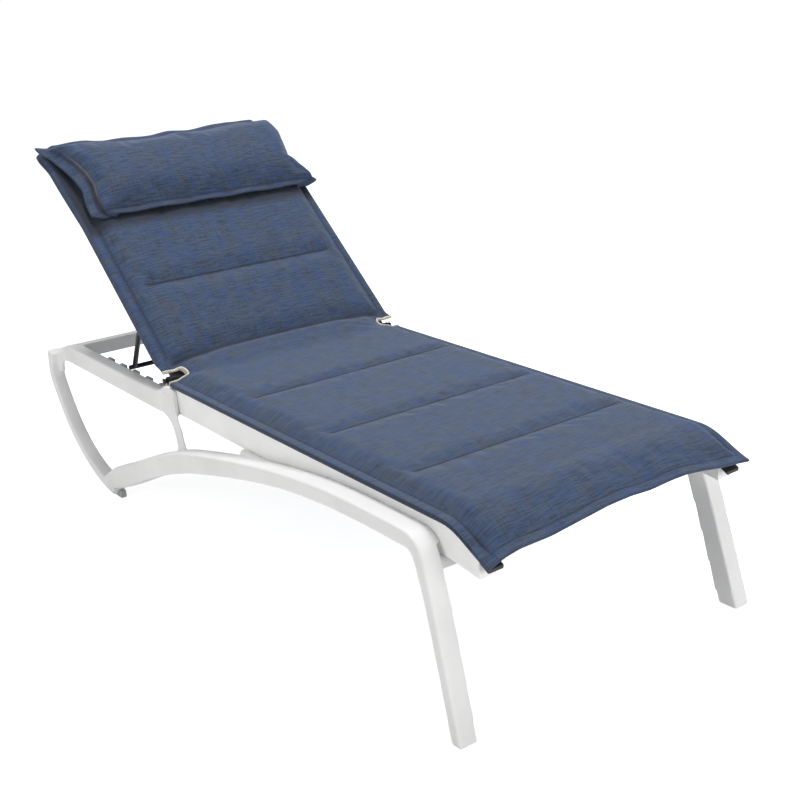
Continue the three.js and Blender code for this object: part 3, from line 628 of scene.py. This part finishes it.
def slingUnder(u, v):
    # at the foot the underside reaches down to the rails
    onRail = eased((abs(u) - sling["railIn"]) / sling["railEase"]) * (abs(u) < sling["railOut"])
    y = pathAt(v, sling["sideFold"])[0]
    if onRail == 0 or y > sling["bendStart"]:
        return 0.0
    past = (sling["bendStart"] - y) / sling["bendReach"]
    gap = sling["bendDrop"] * past ** sling["bendPower"] - footDrop(y) - sling["railGap"]
    return max(0.0, gap) * onRail * eased((y - sling["bendEnd"]) / sling["bendFade"])


def paddedGrid(name, acrossPlaces, alongPlaces, cutAway):
    # two layers of cloth, sewn together round the edge, as a flat grid: z 0 below and 1 above
    bm = bmesh.new()
    columns, rows = len(acrossPlaces) - 1, len(alongPlaces) - 1
    bmesh.ops.create_grid(bm, x_segments=columns, y_segments=rows, size=1.0)
    for vert in bm.verts:
        u = acrossPlaces[round((vert.co.x + 1) / 2 * columns)]
        v = alongPlaces[round((vert.co.y + 1) / 2 * rows)]
        vert.co = (u, v, 0.0)
    holes = [f for f in bm.faces if cutAway(*f.calc_center_median()[:2])]
    bmesh.ops.delete(bm, geom=holes, context="FACES")
    made = bmesh.ops.extrude_face_region(bm, geom=list(bm.faces))
    for part in made["geom"]:
        if isinstance(part, bmesh.types.BMVert):
            part.co.z = 1.0
    bmesh.ops.recalc_face_normals(bm, faces=bm.faces)
    bm.loops.layers.uv.new("weave")
    layer = bm.loops.layers.uv.new("layer")
    weave = bm.loops.layers.uv["weave"]
    for face in bm.faces:
        for loop in face.loops:
            loop[weave].uv = loop.vert.co.xy
            loop[layer].uv = (loop.vert.co.z, 0.0)
    return newPiece(name, bm)


def swollen(share):
    held = min(1.0, max(0.0, share))
    return math.sqrt(1 - (1 - held) ** 2)


def shaped(piece, place):
    # sends each flat point (u, v, layer) to its place and keeps the flat points
    flat = [vert.co.copy() for vert in piece.data.vertices]
    for vert, point in zip(piece.data.vertices, flat):
        vert.co = place(point)
    piece.data.update()
    return flat


def blownUp(piece, held, look):
    # a short cloth simulation: the padding swells between its seams and wrinkles beside them
    group = piece.vertex_groups.new(name="held")
    for i, weight in enumerate(held):
        group.add([i], weight, "REPLACE")
    start = [vert.co.copy() for vert in piece.data.vertices]
    cloth = piece.modifiers.new("cloth", "CLOTH")
    cloth.settings.quality = 5
    cloth.settings.mass = 0.2
    for key in ("tension_stiffness", "compression_stiffness", "shear_stiffness"):
        setattr(cloth.settings, key, look["stiffness"])
    cloth.settings.bending_stiffness = look["bending"]
    cloth.settings.shrink_min = look["shrink"]
    cloth.settings.use_pressure = True
    cloth.settings.uniform_pressure_force = look["pressure"]
    cloth.settings.vertex_group_mass = "held"
    cloth.settings.effector_weights.gravity = 0.0
    cloth.collision_settings.use_collision = False
    cloth.point_cache.frame_start = 1
    cloth.point_cache.frame_end = 20
    for step in range(1, look["steps"] + 1):
        scene.frame_set(step)
    graph = bpy.context.evaluated_depsgraph_get()
    after = [vert.co.copy() for vert in piece.evaluated_get(graph).data.vertices]
    piece.modifiers.clear()
    piece.vertex_groups.clear()
    scene.frame_set(1)
    for vert, old, new in zip(piece.data.vertices, start, after):
        move = new - old
        reach = move.length
        vert.co = old + move * (min(1.0, look["cap"] / reach) if reach > 0 else 0.0)
    piece.data.update()


def smoothed(piece, levels=1):
    finer = piece.modifiers.new("finer", "SUBSURF")
    finer.levels = finer.render_levels = levels
    finer.uv_smooth = "NONE"
    settle(piece)


def slingSeamsAndShade(finish, u, v, streaks):
    marks = sling["marks"]
    side = sling["half"] - u.size()
    edge = side.least(v.least(slingLength - v))
    onBack = (v - lengthAtBack(0.03)).between(0.0, 0.03)
    flange = onBack * (sling["flange"] - sling["seatFlange"]) + sling["seatFlange"]
    row = (edge - flange).size()

    # painted shade on the seat's side wall below the cut edge, where the welt is also darker, darker
    # hems, and painted shade on the sleeve's downward turned face up the back
    shade = side.below(marks["cutEdge"]) * (v - marks["cutFrom"]).above(0.0) * (1 - onBack)
    shade = shade * marks["cutShade"] + edge.below(marks["hem"]) * marks["hemShade"]
    sleeve = side.between(marks["sleeveIn"], marks["sleeveOut"], 1.0, 0.75)
    sleeve = sleeve * side.above(marks["sleeveIn"]) * side.below(marks["sleeveOut"])
    shade = shade + sleeve * onBack * marks["sleeveShade"]

    # the row of stitches all round, darkened as painted shade in its groove, and painted shade in the
    # puckers drawn in at the foot corners
    rowLine = lineAt(row, onBack * marks["rowMore"] + marks["row"])
    uneven = streaks.between(marks["unevenFrom"], marks["unevenTo"]) * marks["uneven"]
    shade = shade + rowLine * (uneven + onBack * marks["rowMoreShade"] + marks["rowShade"])
    corner = lineAt((side - flange).size(), marks["corner"])
    corner = corner * v.between(*marks["cornerHigh"], 1.0, 0.0) * v.between(*marks["cornerLow"])
    shade = shade + corner * marks["cornerShade"]

    # gathers beside it, with painted shade in their hollows
    where = finish.stretched(finish.mapPlace("weave"), *marks["gathers"])
    gathers = finish.grain(where, 1.0, 2.0, 0.5) - 0.5
    beside = lineAt((edge - flange - marks["gatherIn"]).size(), marks["gatherReach"])
    gathers = gathers * (beside * (1 - onBack * 0.5))
    ridge = 0 - lineAt(row, marks["row"]) - corner + gathers * marks["gatherRise"]
    shade = shade + (0 - gathers).most(0.0) * marks["gatherShade"]

    # painted shade along the sewn channels across, and along the crease where the back bends
    stop = sling["channelStop"]
    inside = side.between(stop - marks["channelFade"], stop + marks["channelFade"])
    for place in channelPlaces:
        width = marks["backChannel"] if place > lengthAtBack(0) else marks["channel"]
        line = lineAt((v - place).size(), width) * inside
        shade = shade + line
        ridge = ridge - line * marks["channelRise"]
    across = (u * (1 / sling["creaseSpan"])).size()
    bow = (1 - across * across * across) * sling["creaseRise"]
    fold = lineAt((v - lengthAtBack(sling["creaseLow"]) - bow).size(), marks["fold"])
    shade = shade + fold * side.between(marks["foldFrom"], marks["foldTo"])

    # painted shadow of the pillow on the upper cloth, under it and just below its lower edge
    pillowShadow = v.between(lengthAtBack(marks["pillowFrom"]), lengthAtBack(marks["pillowTo"]))
    pillowShadow = pillowShadow * side.between(marks["pillowIn"], marks["pillowInTo"])
    upper, _ = finish.mapParts("layer")
    shade = shade + pillowShadow * upper
    return shade.least(1.0), ridge, None


def inNotch(u, v):
    return abs(u) > notchInner and abs(v - notchPlace) < sling["notchHalf"]


def makeSling():
    half, cell = sling["half"], sling["cell"]
    rim = [sling["flange"] * i / 6 for i in range(7)]
    across = spacedThrough([r - half for r in rim] + [-notchInner, notchInner]
                           + [half - r for r in reversed(rim)], cell)
    marks = [r for r in rim[::2]] + sorted(channelPlaces)
    marks += [slingLength - r for r in reversed(rim[::2])]
    low, high = notchPlace - sling["notchHalf"], notchPlace + sling["notchHalf"]
    marks = sorted([m for m in marks if not low < m < high] + [low, high])
    piece = paddedGrid("paddedSling", across, spacedThrough(marks, cell), inNotch)

    def place(p):
        height = slingHeight(p.x, p.y) if p.z > 0.5 else -slingUnder(p.x, p.y)
        return slingPlace(p.x, p.y, height)

    held = []
    for point in shaped(piece, place):
        loose = point.z > 0.5 and slingEdge(point.x, point.y) > sling["flange"] + 0.001
        away = min(abs(point.y - place) for place in channelPlaces)
        onChannel = away < cell * sling["sewnNear"]
        onCrease = abs(point.y - creasePlace(point.x)) < cell * sling["creaseNear"]
        stopped = half - abs(point.x) < sling["channelStop"]
        nearNotch = (abs(point.y - notchPlace) < sling["notchHeld"]
                     and abs(point.x) > notchInner - sling["notchHeldIn"])
        sewn = (onChannel or onCrease) and not stopped
        held.append(0.0 if loose and not sewn and not nearNotch else 1.0)
    blownUp(piece, held, sling["fill"])
    smoothed(piece)
    return piece


slingCloth = slingWeave("slingWeave", slingSeamsAndShade)
paddedSling = dressed(makeSling(), slingCloth.material)
print("sling sewn", len(paddedSling.data.vertices))


def backPoint(x, along, out):
    # a point at a length up the back and a height over it
    angle = hinge["angle"]
    return Vector((x, hinge["y"] + along * math.cos(angle) - out * math.sin(angle),
                   hinge["z"] + along * math.sin(angle) + out * math.cos(angle)))


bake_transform(paddedSling)
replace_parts(paddedSling, "seat_sling", "back_sling")


# Binding round the notches: a cream band over the cut edge

binding = {"into": 0.0030, "out": 0.0030, "over": 0.0018, "under": 0.0004, "corner": 0.010,
           "sides": 12}


def notchOutline():
    # round the cut from one end to the other, each point with its direction into the notch
    low, high = notchPlace - sling["notchHalf"], notchPlace + sling["notchHalf"]
    inner, outer = notchInner, sling["half"] - 0.001
    corner = binding["corner"]
    points = [((mixed(outer, inner + corner, i / 6), high), (0, -1)) for i in range(7)]
    for i in range(1, 10):
        turn = math.pi * i / 10
        points.append(((inner + corner - corner * math.sin(turn),
                        notchPlace + sling["notchHalf"] * math.cos(turn)),
                       (math.sin(turn), -math.cos(turn))))
    points += [((mixed(inner + corner, outer, i / 6), low), (0, 1)) for i in range(7)]
    return points


def squarish(value):
    # bulges a circle's sine or cosine towards a square with round corners
    return abs(value) ** 0.5 * math.copysign(1, value)


def notchBinding(side, name):
    # a round bar, extruded upwards one step for each point of the outline, then laid along the cut
    outline = notchOutline()
    bm = bmesh.new()
    bmesh.ops.create_circle(bm, cap_ends=True, segments=binding["sides"], radius=1.0)
    end = bm.faces[:] + bm.edges[:]
    for _ in outline[1:]:
        made = bmesh.ops.extrude_face_region(bm, geom=end)["geom"]
        end = [part for part in made if not isinstance(part, bmesh.types.BMVert)]
        bmesh.ops.translate(bm, verts=[part for part in made if isinstance(part, bmesh.types.BMVert)],
                            vec=(0, 0, 1))
    bmesh.ops.recalc_face_normals(bm, faces=bm.faces)
    for vert in bm.verts:
        (u, v), (du, dv) = outline[round(vert.co.z)]
        out = mixed(-binding["into"], binding["out"], (squarish(vert.co.x) + 1) / 2)
        top = slingHeight(u, v) + binding["over"]
        height = mixed(-binding["under"], top, (squarish(vert.co.y) + 1) / 2)
        vert.co = slingPlace(side * (u + du * out), v + dv * out, height)
    if side < 0:
        # the mirrored one came out inside out
        bmesh.ops.reverse_faces(bm, faces=bm.faces)
    piece = dressed(newPiece(name, bm), creamTrim)
    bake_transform(piece)
    return piece


for side, word in ((1, "right"), (-1, "left")):
    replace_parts(notchBinding(side, f"notchBinding_{word}"), f"notch_trim_{word}")
print("notches bound")


# Head pillow: a plump roll with a sewn flange, hung over the top of the back

pillow = {
    "half": 0.340, "low": 0.486, "top": 0.746, "lift": 0.0345, "arch": 0.010, "droop": 0.012,
    "edge": 0.0050, "flange": 0.016, "nearFlange": 0.026, "rise": 0.050, "lowRise": 0.085,
    "crown": 0.034, "cell": 0.0075, "lip": 0.007, "lipReach": 0.055,
    "ends": 0.9, "droopReach": 1.5,
    "ripple": 0.0020, "rippleWaves": 47, "rippleStart": 1.3, "rippleIn": 0.004, "rippleFade": 0.02,
    "fill": {"stiffness": 10.0, "bending": 0.7, "shrink": -0.018, "pressure": 3.0, "steps": 18,
             "cap": 0.006},
    # as on the sling, with painted shade; the places up the pillow are shares of its length
    "marks": {
        "hem": 0.0022, "hemShade": 0.3, "row": 0.0036, "rowShade": 0.3,
        "uneven": 0.4, "unevenFrom": 0.35, "unevenTo": 0.65, "lowShade": 0.25, "lowReach": 0.02,
        "pocket": 0.0090, "pocketIn": 0.001, "pocketShade": 1.2, "pocketEnd": (0.25, 0.6),
        "thread": 0.0022, "threadIn": 0.0045, "threadShade": 0.5, "threadStart": (0.12, 0.3),
        "threadEnd": (0.7, 0.9),
    },
}
# how far the two ends reach out, from the bottom to the top
nearEnds = ((0, 0.285), (0.03, 0.300), (0.06, 0.314), (0.235, 0.311), (0.38, 0.305),
            (0.535, 0.311), (0.67, 0.321), (0.83, 0.339), (0.93, 0.361), (1, 0.364))
farEnds = ((0, 0.326), (0.06, 0.373), (0.2, 0.352), (0.29, 0.338), (0.36, 0.322), (0.57, 0.334),
           (0.70, 0.342), (0.87, 0.336), (0.94, 0.322), (1, 0.316))
topWaves = ((-1, 0.014), (-0.85, 0.004), (-0.6, 0.007), (-0.45, -0.001), (-0.05, -0.003),
            (0.1, 0.002), (0.3, -0.001), (0.45, 0.003), (0.65, 0.010), (0.9, 0.004), (1, 0.008))


def pillowRim(x, y):
    # distance in from the sewn edge, as if the wider flange at the near end were like the rest
    long = pillow["top"] - pillow["low"]
    near = (pillow["half"] + x) * pillow["flange"] / pillow["nearFlange"]
    return min(near, pillow["half"] - x, y, long - y)


def pillowPlace(flatX, flatY, layer):
    across, up = flatX / pillow["half"], flatY / (pillow["top"] - pillow["low"])
    x = mixed(-along(nearEnds, up), along(farEnds, up), (across + 1) / 2)
    s = mixed(pillow["low"], pillow["top"], up) + along(topWaves, across) * eased(up * 2 - 1)
    rim = pillowRim(flatX, flatY)
    fromLow = (flatY - pillow["flange"]) / pillow["lowRise"]
    swell = swollen(min((rim - pillow["flange"]) / pillow["rise"], fromLow))
    arch = pillow["arch"] * math.sin(math.pi * up) ** 2
    droop = pillow["droop"] * (1 - eased(rim / (pillow["flange"] * pillow["droopReach"])))
    droop *= abs(across) > pillow["ends"]
    lip = pillow["lip"] * (1 - eased(flatY / pillow["lipReach"]))
    height = pillow["lift"] + arch - droop + lip
    height += layer * (pillow["edge"] + pillow["crown"] * swell)
    ripple = pillow["ripple"] * math.sin(x * pillow["rippleWaves"] + pillow["rippleStart"])
    ripple *= 1 - eased((rim - pillow["rippleIn"]) / pillow["rippleFade"])
    return backPoint(x, s, height + ripple)


def pillowSeamsAndShade(finish, u, v, streaks):
    marks = pillow["marks"]
    long = pillow["top"] - pillow["low"]
    near = (u + pillow["half"]) * (pillow["flange"] / pillow["nearFlange"])
    edge = near.least(pillow["half"] - u).least(v.least(long - v))
    # the stitch row, darkened as painted shade in its groove, and the hems
    row = lineAt((edge - pillow["flange"]).size(), marks["row"])
    uneven = streaks.between(marks["unevenFrom"], marks["unevenTo"]) * marks["uneven"]
    shade = edge.below(marks["hem"]) * marks["hemShade"] + row * (uneven + marks["rowShade"])
    # painted shade along the low lip
    shade = shade + v.between(0.0, marks["lowReach"], marks["lowShade"], 0.0)

    # painted shade in a pocket low beside the near seam, and a pale thread along it
    atNear = u + (pillow["half"] - pillow["nearFlange"])
    up = v * (1 / long)
    pocket = lineAt((atNear + marks["pocketIn"]).size(), marks["pocket"])
    pocket = pocket * up.between(*marks["pocketEnd"], 1.0, 0.0)
    shade = shade + pocket * marks["pocketShade"]
    thread = lineAt((atNear - marks["threadIn"]).size(), marks["thread"])
    thread = thread * up.between(*marks["threadStart"]) * up.between(*marks["threadEnd"], 1.0, 0.0)
    return shade.least(1.0), 0 - row, thread * marks["threadShade"]


def makePillow():
    half, long, cell = pillow["half"], pillow["top"] - pillow["low"], pillow["cell"]
    rim = [pillow["flange"] * i / 2 for i in range(3)]
    nearRim = [pillow["nearFlange"] * i / 4 for i in range(5)]
    across = spacedThrough([r - half for r in nearRim] + [half - r for r in reversed(rim)], cell)
    upwards = spacedThrough(rim + [long - r for r in reversed(rim)], cell)
    piece = paddedGrid("headPillow", across, upwards, lambda u, v: False)
    flat = shaped(piece, lambda p: pillowPlace(p.x, p.y, p.z))
    held = [0.0 if point.z > 0.5 and pillowRim(point.x, point.y) > pillow["flange"] + 0.001
            else 1.0 for point in flat]
    blownUp(piece, held, pillow["fill"])
    smoothed(piece)
    return piece


pillowCloth = slingWeave("pillowWeave", pillowSeamsAndShade)
headPillow = dressed(makePillow(), pillowCloth.material)
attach(headPillow, "backrest")
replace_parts(headPillow, "head_pillow")
print("pillow sewn", len(headPillow.data.vertices))


# The flap hangs the pillow over the top of the back

flap = {"half": 0.290, "front": 0.0325, "start": 0.729, "outside": 0.7455, "rear": -0.0125,
        "drop": 0.150, "thick": 0.0022, "corner": 0.006, "hem": 0.004, "hemShade": 0.4}


def quarterTurn(centre, radius, start):
    # the points between the ends of a quarter turn, each as (s, h)
    turns = [start + math.pi / 2 * i / 6 for i in range(1, 6)]
    return [(centre[0] + radius * math.sin(turn), centre[1] + radius * math.cos(turn))
            for turn in turns]


def makeFlap():
    bm = bmesh.new()
    front, rear, outside = flap["front"], flap["rear"], flap["outside"]
    corner = flap["corner"]
    bend = outside - corner
    line = [(flap["start"], front), (bend, front)]
    line += quarterTurn((bend, front - corner), corner, 0.0)
    line += [(outside, front - corner), (outside, rear + corner)]
    line += quarterTurn((bend, rear + corner), corner, math.pi / 2)
    line += [(bend - flap["drop"] * i / 12, rear) for i in range(13)]
    verts = [bm.verts.new(backPoint(-flap["half"], s, h)) for s, h in line]
    edges = [bm.edges.new(pair) for pair in zip(verts, verts[1:])]
    steps = 24
    for _ in range(steps):
        made = bmesh.ops.extrude_edge_only(bm, edges=edges)["geom"]
        bmesh.ops.translate(bm, verts=[g for g in made if isinstance(g, bmesh.types.BMVert)],
                            vec=(2 * flap["half"] / steps, 0, 0))
        edges = [g for g in made if isinstance(g, bmesh.types.BMEdge)]
    bmesh.ops.recalc_face_normals(bm, faces=bm.faces)
    weave = bm.loops.layers.uv.new("weave")
    for face in bm.faces:
        for loop in face.loops:
            loop[weave].uv = (loop.vert.co.x, loop.vert.co.z * 1.4)
    bmesh.ops.solidify(bm, geom=bm.faces[:], thickness=flap["thick"])
    flat = sum(math.dist(a, b) for a, b in zip(line, line[1:]))
    return newPiece("pillowFlap", bm), flat


def plainSeams(finish, u, v, streaks):
    return u.size().above(flap["half"] - flap["hem"]) * flap["hemShade"], u * 0.0, None


flapCloth = slingWeave("flapWeave", plainSeams)
pillowFlap, flapLong = makeFlap()
dressed(pillowFlap, flapCloth.material)
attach(pillowFlap, "backrest")
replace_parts(pillowFlap, "pillow_flap")
print("flap hung, flat length", round(flapLong, 4))


# Side frames: the moulding's own solid with every corner softened

# rounds of smoothing all over, on the outer arm, and more and more into the top rear corner
moulding = {"voxel": 0.0026, "rounds": 4, "armRounds": 8, "armFrom": 0.352, "cornerRounds": 26,
            "cornerFrom": (0.852, 0.293), "cornerStep": 0.001}


def relaxed(bm, verts):
    bmesh.ops.smooth_vert(bm, verts=verts, factor=0.5, use_axis_x=True, use_axis_y=True,
                          use_axis_z=True)


def softened(nodeName, name):
    bm = bmesh.new()
    bm.from_mesh(nodes[nodeName].data)
    bmesh.ops.remove_doubles(bm, verts=bm.verts, dist=0.00001)
    piece = newPiece(name, bm)
    remesh = piece.modifiers.new("skin", "REMESH")
    remesh.mode = "VOXEL"
    remesh.voxel_size = moulding["voxel"]
    settle(piece)
    bm = bmesh.new()
    bm.from_mesh(piece.data)
    for _ in range(moulding["rounds"]):
        relaxed(bm, bm.verts)
    arm = [vert for vert in bm.verts if abs(vert.co.x) > moulding["armFrom"]]
    for _ in range(moulding["armRounds"]):
        relaxed(bm, arm)
    for i in range(moulding["cornerRounds"]):
        rear, low = (place + i * moulding["cornerStep"] for place in moulding["cornerFrom"])
        relaxed(bm, [vert for vert in bm.verts if vert.co.y > rear and vert.co.z > low])
    bm.to_mesh(piece.data)
    bm.free()
    for face in piece.data.polygons:
        face.use_smooth = True
    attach(piece, "frame")
    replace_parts(piece, nodeName)
    return dressed(piece, whiteMould)


for word in ("right", "left"):
    made = softened(f"side_frame_{word}", f"sideFrame_{word}")
    print("side frame", word, len(made.data.vertices))


# Everything else keeps its own solid, with eased edges and its finish

# the crossbar and cross tube take the shaded copy of the white coat, and the seat rails the lit copy
finishes = {
    "screw": steel, "glide": greyPlastic, "seat_rail": litWhiteRail, "seat_spline": blackPlastic,
    "rail_end_cap": blackPlastic, "crossbar": shadedWhiteCoat, "cross_tube": shadedWhiteCoat,
    "rack": greyPlastic, "hinge_lug": blackCoat, "pivot_pin": blackCoat, "back_rail": blackCoat,
    "back_top_tube": blackCoat, "back_low_tube": blackCoat, "prop_leg": blackCoat,
    "prop_bar": blackCoat, "prop_tip": blackPlastic, "prop_ear": blackCoat, "prop_pin": steel,
}
edges = {"screw": 0.0006, "rail": 0.003, "crossbar": 0.004, "glide": 0.002, "rack": 0.0012}
plainEdge = 0.0006


def named(table, name):
    # the first entry whose word is in the name
    return next((entry for word, entry in table.items() if word in name), None)


for name, node in sorted(nodes.items()):
    if node.hide_render:
        continue
    dressed(node, named(finishes, name))
    weld = node.modifiers.new("weld", "WELD")
    weld.merge_threshold = 0.00002
    bevel = node.modifiers.new("bevel", "BEVEL")
    bevel.width = named(edges, name) or plainEdge
    bevel.segments = 2
    bevel.limit_method = "ANGLE"
    bevel.angle_limit = math.radians(50)
print("frame finished")
